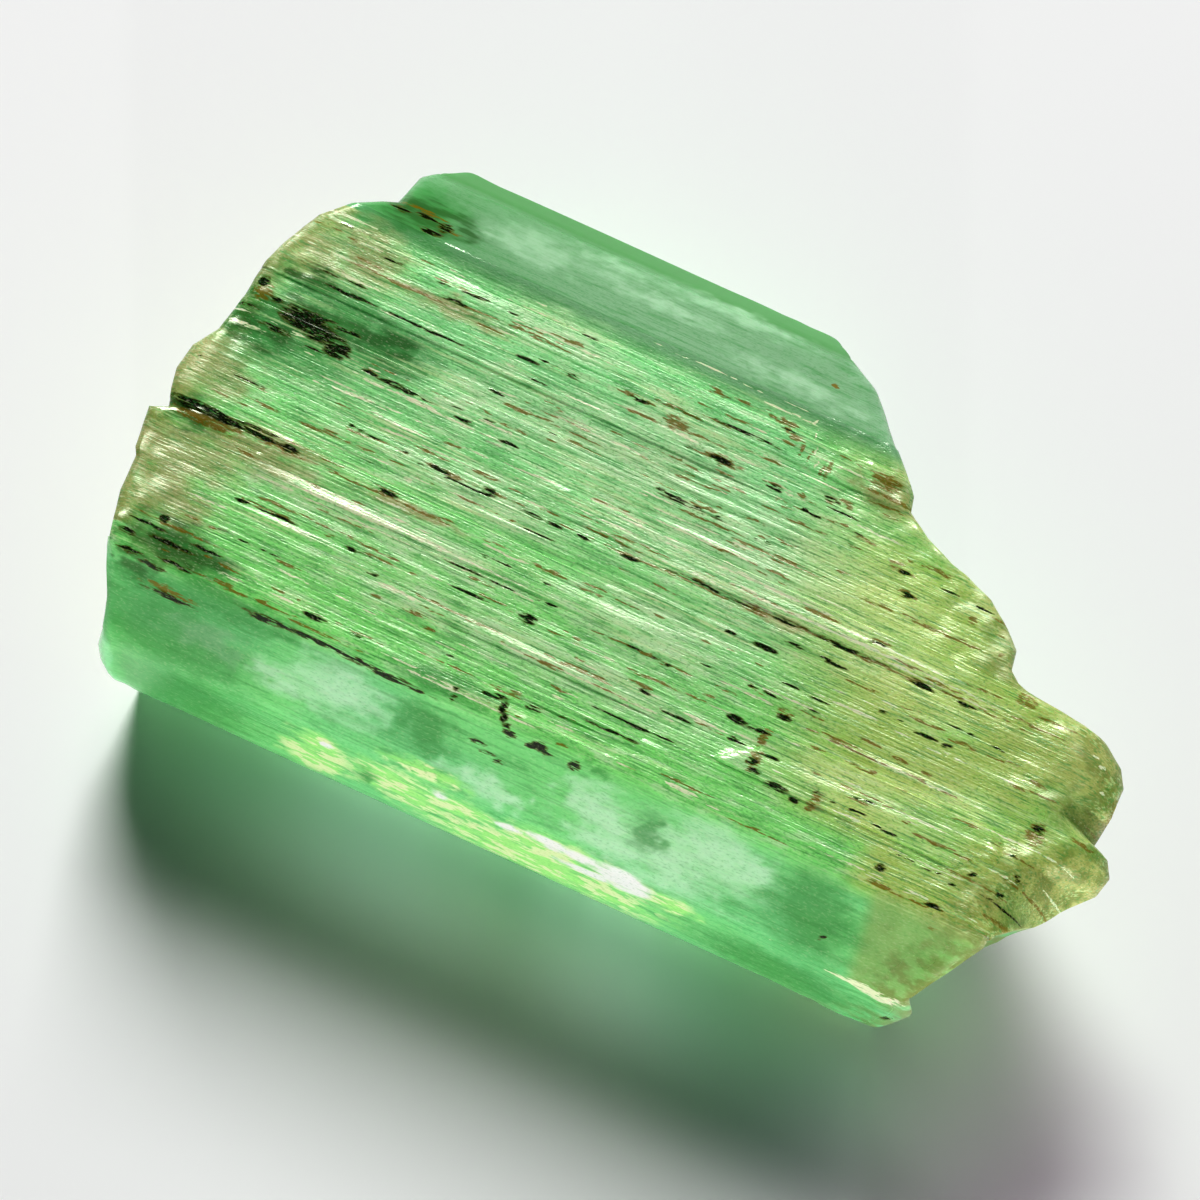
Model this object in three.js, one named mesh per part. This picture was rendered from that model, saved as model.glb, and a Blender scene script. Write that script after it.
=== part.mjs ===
// A rough emerald: one crystal of beryl that grew as a flattened six-sided prism and was broken off at
// both ends. It lies on one broad prism face. Millimetres, X along the crystal's long growth axis, Z up.
//
// The crystal is laid out as rows of points. A row runs the length of the prism, from the broken left end
// to the broken right end, and the rows stand side by side all the way round the section. Each end is then
// closed by a hackly broken surface that runs down from the rows above to the rows below.

import * as THREE from "three";
import { mergeVertices } from "three/addons/utils/BufferGeometryUtils.js";

// ---- Driving dimensions ----
const THICKNESS = 2.92; // between the broad top face and the face it lies on
const TOP_WIDTH = 4.88; // broad striated top face, ridge to ridge
const BACK_BEVEL = 1.19; // smooth bevel behind the top face, 30 degrees down
const BACK_SIDE = 1.1; // steep prism face behind the bevel, 60 degrees down
const FRONT_BEVEL = 1.28; // smooth prism face in front of the top face, 60 degrees down
const FRONT_SIDE = 1.14; // upright face below the front bevel
const FINE_STEP = 0.045; // height of the growth lines on the top face
const TERRACE_STEP = 0.06; // height of the broad growth terraces
const MIDDLE_START = 1.0; // rows are level with each other from here ...
const MIDDLE_END = 4.6; // ... to here, and spread out to the broken ends beyond
const LEFT_STATIONS = 5;
const MIDDLE_STATIONS = 8;
const RIGHT_STATIONS = 16;
const BREAK_LEVELS = 7; // levels of facets down a break
const BREAK_FACET = 4; // rows that one facet of a break spans
const BREAK_ROUGHNESS = 0.16; // how far the facets of a break step in
const RIM_FALL_REACH = 0.62; // how far in from the right rim its ledges start to fall

const degrees = Math.PI / 180;

// ---- Section ----
// Each face gives the heading it runs in (0 is straight back, 90 straight up), its length, how many rows of
// facets it has, and where it breaks off: pairs of a share of its width and the place along X. A right-hand
// pair may add how far the rim there lies below the face, where a ledge has flaked away.
const backDrop = BACK_BEVEL * Math.sin(30 * degrees) + BACK_SIDE * Math.sin(60 * degrees);
const backUnder = (THICKNESS - backDrop) / Math.sin(60 * degrees);
const frontRise = FRONT_SIDE + FRONT_BEVEL * Math.sin(60 * degrees);
const frontUnder = (THICKNESS - frontRise) / Math.sin(60 * degrees);
const baseWidth = TOP_WIDTH
  + BACK_BEVEL * Math.cos(30 * degrees) + (BACK_SIDE - backUnder) * Math.cos(60 * degrees)
  + (FRONT_BEVEL - frontUnder) * Math.cos(60 * degrees);

const topLeftRim = [
  [0, -0.47], [0.12, -0.63], [0.21, -0.66], [0.23, -0.72], [0.29, -0.78], [0.34, -0.82],
  [0.36, -0.63], [0.4, -0.7], [0.45, -0.76], [0.52, -0.73], [0.58, -0.56], [0.68, -0.5],
  [0.78, -0.47], [0.87, -0.33], [0.94, -0.19], [1, 0.07],
];
const topRightRim = [
  [0, 10.34, 0], [0.04, 10.42, 0.11], [0.12, 10.62, 0.55], [0.21, 10.85, 0.66], [0.25, 11.07, 0.55],
  [0.29, 11.14, 0.38], [0.32, 11.04, 0.28], [0.35, 10.8, 0.44], [0.41, 10.87, 0.22],
  [0.49, 10.83, 0.22], [0.53, 10.7, 0.22], [0.57, 10.41, 0.16], [0.58, 10.12, 0.08],
  [0.583, 9.8, 0.02], [0.586, 9.5, 0], [0.6, 9.27, 0], [0.62, 9.14, 0], [0.67, 9.08, 0], [0.71, 8.88, 0], [0.76, 8.55, 0],
  [0.785, 8.22, 0], [0.795, 8.0, 0], [0.83, 7.6, 0], [0.87, 7.3, 0], [0.91, 7.24, 0],
  [0.955, 7.04, 0], [1, 6.82, 0],
];
const upperFaces = [
  {
    heading: 90, length: FRONT_SIDE, rows: 3,
    left: [[0, -0.2], [0.3, -0.32], [0.6, -0.34], [1, -0.28]],
    right: [[0, 9.32], [0.25, 9.5], [0.6, 9.7], [0.75, 9.74], [1, 9.68]],
  },
  {
    heading: 60, length: FRONT_BEVEL, rows: 6,
    left: [[0, -0.28], [0.37, -0.32], [0.68, -0.42], [0.87, -0.48], [1, -0.5]],
    right: [[0, 9.68], [0.27, 9.87], [0.45, 10.02], [0.85, 10.32], [1, 10.34]],
  },
  { heading: 0, length: TOP_WIDTH, rows: 52, left: topLeftRim, right: topRightRim },
  {
    heading: -30, length: BACK_BEVEL, rows: 8,
    left: [[0, 0.07], [0.21, 0.3], [0.31, 0.47], [0.82, 0.49], [1, 0.62]],
    right: [[0, 6.82], [0.43, 6.47], [0.69, 6.23], [1, 5.77]],
  },
  { heading: -60, length: BACK_SIDE, rows: 3, left: [[0, 0.62], [1, 0.68]], right: [[0, 5.77], [1, 5.35]] },
];
const lowerFaces = [
  { heading: -60, length: frontUnder, rows: 1, left: [[0, -0.2], [1, 0]], right: [[0, 9.32], [1, 9.05]] },
  {
    heading: 0, length: baseWidth, rows: 8,
    left: [[0, 0], [0.4, 0.05], [0.7, 0.35], [1, 0.95]],
    right: [[0, 9.05], [0.3, 9.5], [0.55, 8.1], [0.85, 6.0], [1, 5.15]],
  },
  { heading: 60, length: backUnder, rows: 1, left: [[0, 0.95], [1, 0.68]], right: [[0, 5.15], [1, 5.35]] },
];

// A repeatable stream of numbers from 0 to 1, so that the crystal is the same on every build.
function numberStream(seed) {
  let state = seed;
  return () => {
    state = (state * 1664525 + 1013904223) % 4294967296;
    return state / 4294967296;
  };
}

// The value of column `column` at `share`, straight between the points of a rim.
function along(points, share, column) {
  for (let i = 1; i < points.length; i++) {
    const [from, to] = [points[i - 1], points[i]];
    if (share <= to[0]) {
      const part = (share - from[0]) / (to[0] - from[0]);
      return THREE.MathUtils.lerp(from[column] ?? 0, to[column] ?? 0, part);
    }
  }
  return points[points.length - 1][column] ?? 0;
}

// Growth terraces and furrows of the top face: the share of its width and the stretch of X that each
// covers, and how many terrace steps it stands up or lies down.
const terraces = [
  { from: 0.02, to: 0.06, start: 4.2, end: 5.6, lift: -0.9 }, // chips along the front ridge
  { from: 0.09, to: 0.15, start: 2.6, end: 6.4, lift: -0.6 },
  { from: 0.34, to: 0.375, start: -1.0, end: 0.5, lift: -1.6 }, // furrow in from the left notch
  { from: 0.3, to: 0.4, start: 0.6, end: 5.4, lift: 0.8 },
  { from: 0.5, to: 0.57, start: 3.4, end: 9.0, lift: 0.8 },
  { from: 0.68, to: 0.76, start: -1.0, end: 6.0, lift: -0.7 },
  { from: 0.86, to: 0.93, start: 1.2, end: 8.0, lift: 0.6 },
  { from: 0.22, to: 0.36, start: 7.0, end: 10.2, lift: 1 }, // low plate that steps up near the right end
];

// ---- Rows round the section ----
// All rows of the given faces, one face after the other, starting at (y, z).
function rowsOf(someFaces, y, z) {
  const random = numberStream(7);
  const rows = [];
  for (const face of someFaces) {
    const [stepY, stepZ] = [Math.cos(face.heading * degrees), Math.sin(face.heading * degrees)];
    for (let row = 0; row < face.rows; row++) {
      const onTop = face.length === TOP_WIDTH && row > 0;
      const share = (row + (onTop ? (random() - 0.5) * 0.7 : 0)) / face.rows;
      const ripple = (row % 2 ? -1 : 0) * (0.35 + 0.65 * random()) * FINE_STEP;
      rows.push({
        y: y + stepY * face.length * share,
        z: z + stepZ * face.length * share,
        share,
        onTop,
        ripple,
        phase: random() * 2 * Math.PI,
        left: along(face.left, share, 1),
        right: along(face.right, share, 1),
        fall: along(face.right, share, 2),
      });
    }
    y += stepY * face.length;
    z += stepZ * face.length;
  }
  const lastFace = someFaces[someFaces.length - 1];
  rows.push({ y, z, left: along(lastFace.left, 1, 1), right: along(lastFace.right, 1, 1) });
  return rows;
}

// How far the surface of a row stands above its flat face at x: growth lines, terraces, flaked ledges.
function relief(row, x) {
  if (!row.onTop) return 0;
  let height = row.ripple * (0.7 + 0.3 * Math.sin(1.3 * x + row.phase));
  for (const terrace of terraces) {
    const inside = row.share > terrace.from && row.share < terrace.to;
    if (inside && x > terrace.start && x < terrace.end) height += terrace.lift * TERRACE_STEP;
  }
  const reach = THREE.MathUtils.clamp(1 - (row.right - x) / RIM_FALL_REACH, 0, 1);
  return height - row.fall * reach * reach;
}

// The points of one row from rim to rim. Only the rows of the top face have any between the rims.
function pointsOf(row) {
  const stations = [row.left];
  if (row.onTop) {
    for (let i = 1; i < LEFT_STATIONS; i++) {
      stations.push(THREE.MathUtils.lerp(row.left, MIDDLE_START, i / LEFT_STATIONS));
    }
    for (let i = 0; i < MIDDLE_STATIONS; i++) {
      stations.push(THREE.MathUtils.lerp(MIDDLE_START, MIDDLE_END, i / MIDDLE_STATIONS));
    }
    for (let i = 0; i < RIGHT_STATIONS; i++) {
      stations.push(THREE.MathUtils.lerp(MIDDLE_END, row.right, i / RIGHT_STATIONS));
    }
  }
  stations.push(row.right);
  return stations.map((x) => [x, row.y, row.z + relief(row, x)]);
}

// A number from 0 to 1 that changes from facet to facet of a break.
function lump(column, level) {
  const mixed = Math.sin(column * 12.9898 + level * 78.233) * 43758.5453;
  return mixed - Math.floor(mixed);
}

// ---- The closed surface ----
function crystalGeometry() {
  const points = [];
  const triangles = [];
  const numbered = (corners) => corners.map((corner) => points.push(corner) - 1);

  // Facets between two lines of points that run the same way, whatever their numbers of points.
  const zip = (first, second) => {
    let [i, j] = [0, 0];
    while (i < first.length - 1 || j < second.length - 1) {
      const firstIsNext = (i + 1) * (second.length - 1) <= (j + 1) * (first.length - 1);
      const facet = firstIsNext ? [first[i], first[i + 1], second[j]] : [first[i], second[j + 1], second[j]];
      if (new Set(facet).size === 3) triangles.push(facet);
      if (firstIsNext) i++;
      else j++;
    }
  };

  // The upper rows climb the front and run back over the top, the lower rows run back under the crystal.
  // Both start on the lower front edge and end on the back edge.
  const frontY = -FRONT_BEVEL * Math.cos(60 * degrees);
  const frontZ = THICKNESS - frontRise;
  const upper = rowsOf(upperFaces, frontY, frontZ).map((row) => numbered(pointsOf(row)));
  const lower = rowsOf(lowerFaces, frontY, frontZ).map((row) => numbered(pointsOf(row)));
  lower[0] = upper[0];
  lower[lower.length - 1] = upper[upper.length - 1];
  for (let row = 1; row < upper.length; row++) zip(upper[row - 1], upper[row]);
  for (let row = 1; row < lower.length; row++) zip(lower[row], lower[row - 1]);

  // A break runs down from the upper rim to the lower rim in steps, each facet a little further in or out.
  const closeEnd = (endOf, outward) => {
    const upperRim = upper.map(endOf);
    const lowerRim = lower.map(endOf);
    const below = (column) => {
      const place = (column / (upperRim.length - 1)) * (lowerRim.length - 1);
      const start = Math.min(Math.floor(place), lowerRim.length - 2);
      const [from, to] = [points[lowerRim[start]], points[lowerRim[start + 1]]];
      return from.map((value, axis) => THREE.MathUtils.lerp(value, to[axis], place - start));
    };
    const lines = [upperRim];
    for (let level = 1; level < BREAK_LEVELS; level++) {
      const share = level / BREAK_LEVELS;
      lines.push(upperRim.map((index, column) => {
        if (column === 0 || column === upperRim.length - 1) return index;
        const corner = below(column).map((value, axis) => (
          THREE.MathUtils.lerp(points[index][axis], value, share)
        ));
        corner[0] -= outward * BREAK_ROUGHNESS * lump(Math.floor(column / BREAK_FACET), level);
        return points.push(corner) - 1;
      }));
    }
    lines.push(lowerRim);
    for (let line = 1; line < lines.length; line++) {
      if (outward > 0) zip(lines[line], lines[line - 1]);
      else zip(lines[line - 1], lines[line]);
    }
  };
  closeEnd((row) => row[0], -1);
  closeEnd((row) => row[row.length - 1], 1);

  const geometry = new THREE.BufferGeometry();
  geometry.setAttribute("position", new THREE.Float32BufferAttribute(points.flat(), 3));
  geometry.setIndex(triangles.flat());
  return mergeVertices(geometry);
}

// ---- The crystal in its own frame ----
// The origin is under the middle of the crystal, on the face that it lies on.
const geometry = crystalGeometry();
geometry.computeBoundingBox();
const box = geometry.boundingBox;
geometry.translate(-(box.min.x + box.max.x) / 2, -(box.min.y + box.max.y) / 2, -box.min.z);

const emerald = new THREE.MeshStandardMaterial({
  color: 0x5fb27c,
  roughness: 0.25,
  metalness: 0,
  transparent: true,
  opacity: 0.6,
  flatShading: true,
});

const crystal = new THREE.Mesh(geometry, emerald);
crystal.name = "emerald_crystal";

const part = new THREE.Group();
part.add(crystal);

export default part;
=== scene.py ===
import math

import bpy
import numpy as np
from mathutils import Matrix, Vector


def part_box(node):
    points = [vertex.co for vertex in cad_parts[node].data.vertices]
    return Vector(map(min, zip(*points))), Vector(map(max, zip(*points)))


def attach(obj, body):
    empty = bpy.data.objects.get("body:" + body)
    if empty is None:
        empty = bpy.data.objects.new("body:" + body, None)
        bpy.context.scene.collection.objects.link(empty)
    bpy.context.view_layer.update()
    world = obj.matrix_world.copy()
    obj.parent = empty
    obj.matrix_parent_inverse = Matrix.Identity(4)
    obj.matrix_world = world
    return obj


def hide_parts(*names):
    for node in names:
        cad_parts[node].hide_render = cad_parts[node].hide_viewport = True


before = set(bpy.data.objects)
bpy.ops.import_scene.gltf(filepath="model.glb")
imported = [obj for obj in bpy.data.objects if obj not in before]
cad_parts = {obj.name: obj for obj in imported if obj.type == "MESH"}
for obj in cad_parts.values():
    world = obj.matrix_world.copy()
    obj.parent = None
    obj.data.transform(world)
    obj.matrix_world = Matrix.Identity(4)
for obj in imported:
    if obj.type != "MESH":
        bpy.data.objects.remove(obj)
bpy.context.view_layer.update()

# ---------------------------------------------------------------------------------------------
# The crystal's body
# One crystal of emerald, the green beryl. It grew as a flattened six-sided prism, was snapped off
# at both ends and lies loose on its lower face. Its skin is one mesh, in which every face is a
# strip of rows that run the crystal's length from one break to the other.
# ---------------------------------------------------------------------------------------------
MM = 0.001
CRYSTAL = "emerald_crystal"
low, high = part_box(CRYSTAL)

# The section. The bevel in front, the side at the back and the faces under both foot edges slope at
# 60 degrees, and the back bevel slopes at 30 degrees, so it falls by half its width.
TOP_WIDTH = 4.88 * MM
BACK_BEVEL = 1.19 * MM
BACK_SIDE = 1.1 * MM
FRONT_BEVEL = 1.28 * MM
FRONT_SIDE = 1.14 * MM
TERRACE_STEP = 0.06 * MM
THICKNESS = high[2] - low[2] - TERRACE_STEP

steep = math.sin(math.radians(60))
front_foot = THICKNESS - FRONT_SIDE - FRONT_BEVEL * steep
back_foot = THICKNESS - BACK_BEVEL / 2 - BACK_SIDE * steep
base_width = (high[1] - low[1]) - (front_foot + back_foot) / steep / 2

# Where the top face breaks off: shares of its width and places along the crystal in mm. At the
# right, each also says how many mm a flaked ledge lies below the face.
top_left_rim = [
    (0, -0.47), (0.12, -0.63), (0.21, -0.66), (0.23, -0.72), (0.29, -0.78), (0.34, -0.82),
    (0.36, -0.63), (0.4, -0.7), (0.45, -0.76), (0.52, -0.73), (0.58, -0.56), (0.68, -0.5),
    (0.78, -0.47), (0.87, -0.33), (0.94, -0.19), (1, 0.07),
]
top_right_rim = [
    (0, 10.34, 0), (0.04, 10.42, 0.11), (0.12, 10.62, 0.55), (0.21, 10.85, 0.66),
    (0.25, 11.07, 0.55), (0.29, 11.14, 0.38), (0.32, 11.04, 0.28), (0.35, 10.8, 0.44),
    (0.41, 10.87, 0.22), (0.49, 10.83, 0.22), (0.53, 10.7, 0.22), (0.57, 10.41, 0.16),
    (0.58, 10.12, 0.08), (0.583, 9.8, 0.02), (0.586, 9.5, 0), (0.6, 9.27, 0), (0.62, 9.14, 0),
    (0.67, 9.08, 0), (0.71, 8.88, 0), (0.76, 8.55, 0), (0.785, 8.22, 0), (0.795, 8.0, 0),
    (0.83, 7.6, 0), (0.87, 7.3, 0), (0.91, 7.24, 0), (0.955, 7.04, 0), (1, 6.82, 0),
]
# Each face: the heading it runs in, in degrees, its width, its number of rows, and where it breaks
# off at the left and at the right. The upper faces run over the top, the lower ones underneath.
upper_faces = [
    (90, FRONT_SIDE, 10, [(0, -0.2), (0.3, -0.32), (0.6, -0.34), (1, -0.28)],
     [(0, 9.32), (0.25, 9.5), (0.6, 9.7), (0.75, 9.74), (1, 9.68)]),
    (60, FRONT_BEVEL, 30, [(0, -0.28), (0.37, -0.32), (0.68, -0.42), (0.87, -0.48), (1, -0.5)],
     [(0, 9.68), (0.27, 9.87), (0.45, 10.02), (0.85, 10.32), (1, 10.34)]),
    (0, TOP_WIDTH, 270, top_left_rim, top_right_rim),
    (-30, BACK_BEVEL, 30, [(0, 0.07), (0.21, 0.3), (0.31, 0.47), (0.82, 0.49), (1, 0.62)],
     [(0, 6.82), (0.43, 6.47), (0.69, 6.23), (1, 5.77)]),
    (-60, BACK_SIDE, 10, [(0, 0.62), (1, 0.68)], [(0, 5.77), (1, 5.35)]),
]
lower_faces = [
    (-60, front_foot / steep, 3, [(0, -0.2), (1, 0)], [(0, 9.32), (1, 9.05)]),
    (0, base_width, 12, [(0, 0), (0.4, 0.05), (0.7, 0.35), (1, 0.95)],
     [(0, 9.05), (0.3, 9.5), (0.55, 8.1), (0.85, 6.0), (1, 5.15)]),
    (60, back_foot / steep, 3, [(0, 0.95), (1, 0.68)], [(0, 5.15), (1, 5.35)]),
]


# What a row holds: its place, the way it faces, its share of the face's width, the face's number,
# both rims in mm, how many mm its right end falls, and how far round the section it lies.
Y, Z, OUT_Y, OUT_Z, SHARE, FACE, LEFT_RIM, RIGHT_RIM, FALL, AROUND = range(10)


def rows_of(faces, y, z):
    """The rows of these faces, from a foot at (y, z) on. The last face gets a closing row too."""
    rows = []
    around = 0
    for number, (heading, width, count, left, right) in enumerate(faces):
        turn = math.radians(heading)
        left_shares, left_places = zip(*left)
        right_shares, right_places, falls = zip(*((*point, 0)[:3] for point in right))
        closing = number == len(faces) - 1
        for row in range(count + closing):
            share = row / count
            turn_before = math.radians(faces[number - 1][0]) if row == 0 and number else turn
            facing = (turn + turn_before) / 2
            rows.append((
                y + math.cos(turn) * width * share, z + math.sin(turn) * width * share,
                -math.sin(facing), math.cos(facing), share, number,
                np.interp(share, left_shares, left_places),
                np.interp(share, right_shares, right_places),
                np.interp(share, right_shares, falls), around + width * share,
            ))
        y += math.cos(turn) * width
        z += math.sin(turn) * width
        around += width
    return np.array(rows)


# Places in mm along the crystal are set into the part's frame by this shift.
upper_rows = rows_of(upper_faces, low[1], front_foot)
lower_rows = rows_of(lower_faces, low[1], front_foot)
shift = low[0] - upper_rows[:, LEFT_RIM].min() * MM


def drift(u, v, seed):
    """Smooth noise from -1 to 1 over the plane, one swell to each unit of u and of v."""
    cell_u, cell_v = np.floor(u), np.floor(v)
    part_u, part_v = u - cell_u, v - cell_v
    ease_u, ease_v = (part * part * (3 - 2 * part) for part in (part_u, part_v))

    def height(i, j):
        """A fixed random height for one corner of each cell, by the usual scrambling sine."""
        mixed = np.sin((cell_u + i) * 127.1 + (cell_v + j) * 311.7 + seed * 74.7) * 43758.5453
        return 2 * (mixed - np.floor(mixed)) - 1

    near = height(0, 0) * (1 - ease_u) + height(1, 0) * ease_u
    far = height(0, 1) * (1 - ease_u) + height(1, 1) * ease_u
    return near * (1 - ease_v) + far * ease_v


# Growth terraces and furrows: share of the top face's width from and to, start and end in mm along
# the crystal, half steps up or down, and how many mm each end takes to rise.
terraces = [
    (0.02, 0.06, 4.2, 5.6, -0.9, 0.6), (0.09, 0.15, 2.6, 6.4, -0.6, 0.9),
    (0.34, 0.375, -1.8, 0.7, -1.6, 0.9), (0.3, 0.4, 0.6, 5.4, 0.8, 1.2),
    (0.5, 0.57, 3.4, 9.0, 0.8, 1.2), (0.68, 0.76, -2.0, 6.0, -0.7, 1.0),
    (0.86, 0.93, 1.2, 8.0, 0.6, 1.0), (0.12, 0.24, 6.92, 9.9, 1.2, 0.05),
]
# Raised growth lines: mm along the crystal from its middle, mm from the front ridge, half length,
# half width and height in mm.
ridges = [
    (-3.6, 1.47, 1.6, 0.13, 0.012), (-3.9, 0.98, 1.1, 0.08, 0.008), (2.5, 2.56, 2.0, 0.12, 0.012),
    (1.15, 0.92, 0.5, 0.06, 0.004), (-0.9, 0.82, 1.9, 0.09, 0.008), (3.5, 1.34, 1.3, 0.1, 0.01),
    (-4.3, 4.2, 0.8, 0.09, 0.008), (-3.3, 2.62, 0.8, 0.1, 0.008), (0.5, 2.03, 1.3, 0.08, 0.008),
    (3.3, 0.82, 1.2, 0.14, 0.009), (-1.8, 2.1, 0.8, 0.06, 0.007), (0.6, 2.9, 1.3, 0.07, 0.007),
    (-2.2, 3.25, 0.9, 0.1, 0.007), (0.3, 3.4, 1.6, 0.08, 0.007),
]
# Fine growth lines, on the whole top face: height in mm, swells to the mm along and across.
growth_lines = [(0.006, 0.4, 3.1), (0.0025, 0.8, 8.0), (0.0013, 1.8, 19.0), (0.0007, 3.2, 41.0)]
# The top face is number 2 of the upper faces, counted from 0. Its terraces end this raggedly, in mm.
TOP = 2
TERRACE_RAGGED = 0.25

# How far each effect reaches in from a break or a ridge and how deep it goes, in mm. The back ridge
# stays crisp: near it the lines fade out, the roughness is cut down and nothing is rounded.
LINE_FADE_REACH = 0.4
CRISP_REACH = 0.3
CRISP_ROUGHNESS = 0.3
RIM_FALL_REACH = 0.62
LEFT_ROUGH_REACH = 0.8
RIGHT_ROUGH_REACH = 1.6
WORN_DEPTH = 0.05
WORN_REACH = 0.04
SOFT_DEPTH = 0.02
SOFT_REACH = 0.05

# Points along each row, a little closer together towards the breaks than in the middle.
LEFT_STATIONS = 32
MIDDLE_STATIONS = 58
RIGHT_STATIONS = 110
MIDDLE_START = 1.0
MIDDLE_END = 4.6


def stations_of(left, right):
    """Places along one row, in mm, from its left rim to its right rim."""
    return np.concatenate([
        np.linspace(left, MIDDLE_START, LEFT_STATIONS, endpoint=False),
        np.linspace(MIDDLE_START, MIDDLE_END, MIDDLE_STATIONS, endpoint=False),
        np.linspace(MIDDLE_END, right, RIGHT_STATIONS),
    ])


def relief(rows, x):
    """How far the skin stands above the flat faces, in mm, at the places x along each row."""
    y = rows[:, [Y]] / MM * np.ones_like(x)
    z = rows[:, [Z]] / MM
    share = rows[:, [SHARE]]
    face = rows[:, [FACE]].astype(int)
    on_top = (face == TOP) & (share > 0)
    past_front_ridge = (rows[:, [AROUND]] - FRONT_SIDE - FRONT_BEVEL) / MM
    back_ridge = TOP_WIDTH / MM

    # The growth of the top face.
    lines = sum(tall * drift(x * along, y * across, seed)
                for seed, (tall, along, across) in enumerate(growth_lines, 1))
    fading = np.clip((back_ridge - past_front_ridge) / LINE_FADE_REACH, 0, 1)
    height = np.where(on_top, lines * fading, 0)
    ragged_x = TERRACE_RAGGED * drift(y * 6.0, x * 0, 11)
    for share_from, share_to, start, end, steps, rise in terraces:
        inside = on_top & (share > share_from) & (share < share_to)
        begun = np.clip((x - start - ragged_x) / rise, 0, 1)
        begun = begun * np.clip((end + ragged_x - x) / rise, 0, 1)
        height += np.where(inside, 0.5 * steps * TERRACE_STEP / MM, 0) * begun
    for middle, place, half_length, half_width, tall in ridges:
        over = np.clip(np.abs(past_front_ridge - place) / half_width, 0, 1)
        past = np.clip(np.abs(x + shift / MM - middle) / half_length, 0, 1)
        height += on_top * tall * np.cos(over * math.pi / 2) ** 2 * (1 - past ** 2) ** 2

    # Flaked ledges, hackly ends and worn rims at the breaks.
    to_left = x - rows[:, [LEFT_RIM]]
    to_right = rows[:, [RIGHT_RIM]] - x
    height -= rows[:, [FALL]] * np.clip(1 - to_right / RIM_FALL_REACH, 0, 1) ** 2
    rough = 0.035 * drift(x * 2.6, y * 2.6, 21) + 0.02 * drift(x * 6.0, y * 6.0, 22)
    rough = np.where(past_front_ridge > back_ridge - CRISP_REACH, CRISP_ROUGHNESS * rough, rough)
    height += (rough * np.clip(1 - to_right / RIGHT_ROUGH_REACH, 0, 1)
               + rough * np.clip(1 - to_left / LEFT_ROUGH_REACH, 0, 1))
    worn = WORN_DEPTH * np.exp(-(np.minimum(to_left, to_right) / WORN_REACH))

    # Shallow waves on the other faces, and ridges that are rounded a little.
    waves = 0.002 * drift(x * 0.5, (y + z) * 9.0, 5) + 0.004 * drift(x * 0.8, (y + z) * 2.0, 6)
    face_width = np.array([width for _, width, *_ in upper_faces])[face] / MM
    to_ridge = np.minimum(share, 1 - share) * face_width
    softened = SOFT_DEPTH * np.exp(-to_ridge / SOFT_REACH)
    softened = softened * (np.abs(past_front_ridge - back_ridge) > CRISP_REACH)
    return height - worn - softened + np.where(on_top, 0, waves)


def skin_points(rows, raised):
    """The points of every row, as an array of rows by stations by (x, y, z)."""
    x = np.array([stations_of(row[LEFT_RIM], row[RIGHT_RIM]) for row in rows])
    lift = relief(rows, x) * MM if raised else np.zeros_like(x)
    return np.stack([
        x * MM + shift,
        rows[:, [Y]] + rows[:, [OUT_Y]] * lift,
        rows[:, [Z]] + rows[:, [OUT_Z]] * lift,
    ], axis=2)


# The skin as it is made: blocks of points, how many mm round the section from the front ridge each
# point lies, and facets of three or four point numbers.
points = []
unrolled = []
facets = []


def number_points(grid, around):
    """Numbers for the points of a grid, whose lines lie this far round the section."""
    start = sum(len(block) for block in points)
    points.append(grid.reshape(-1, 3))
    unrolled.append(np.broadcast_to(around, grid.shape[:2]).reshape(-1))
    return np.arange(start, start + grid.shape[0] * grid.shape[1]).reshape(grid.shape[:2])


def zip_lines(first, second):
    """Facets between two lines of point numbers that run the same way."""
    i = j = 0
    while i < len(first) - 1 or j < len(second) - 1:
        next_of_first = (i + 1) * (len(second) - 1)
        next_of_second = (j + 1) * (len(first) - 1)
        if next_of_first == next_of_second:
            corners = [first[i], first[i + 1], second[j + 1], second[j]]
            i += 1
            j += 1
        elif next_of_first < next_of_second:
            corners = [first[i], first[i + 1], second[j]]
            i += 1
        else:
            corners = [first[i], second[j + 1], second[j]]
            j += 1
        corners = list(dict.fromkeys(int(corner) for corner in corners))
        if len(corners) > 2:
            facets.append(corners)


# The underside lies beyond every mark that is placed round the section.
UNDERSIDE = -9
around_front_ridge = (upper_rows[:, [AROUND]] - FRONT_SIDE - FRONT_BEVEL) / MM
upper = number_points(skin_points(upper_rows, raised=True), around_front_ridge)
underneath = number_points(skin_points(lower_rows, raised=False)[1:-1], UNDERSIDE)
lower = np.vstack([upper[:1], underneath, upper[-1:]])
for before, after in zip(upper, upper[1:]):
    zip_lines(before, after)
for before, after in zip(lower, lower[1:]):
    zip_lines(after, before)

# A break runs down from the upper rim to the lower rim in small hackly steps, in mm. They reach
# their full depth after the first quarter of the way.
BREAK_LEVELS = 18
BREAK_ROUGHNESS = 0.16
BREAK_ONSET = 0.25


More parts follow.
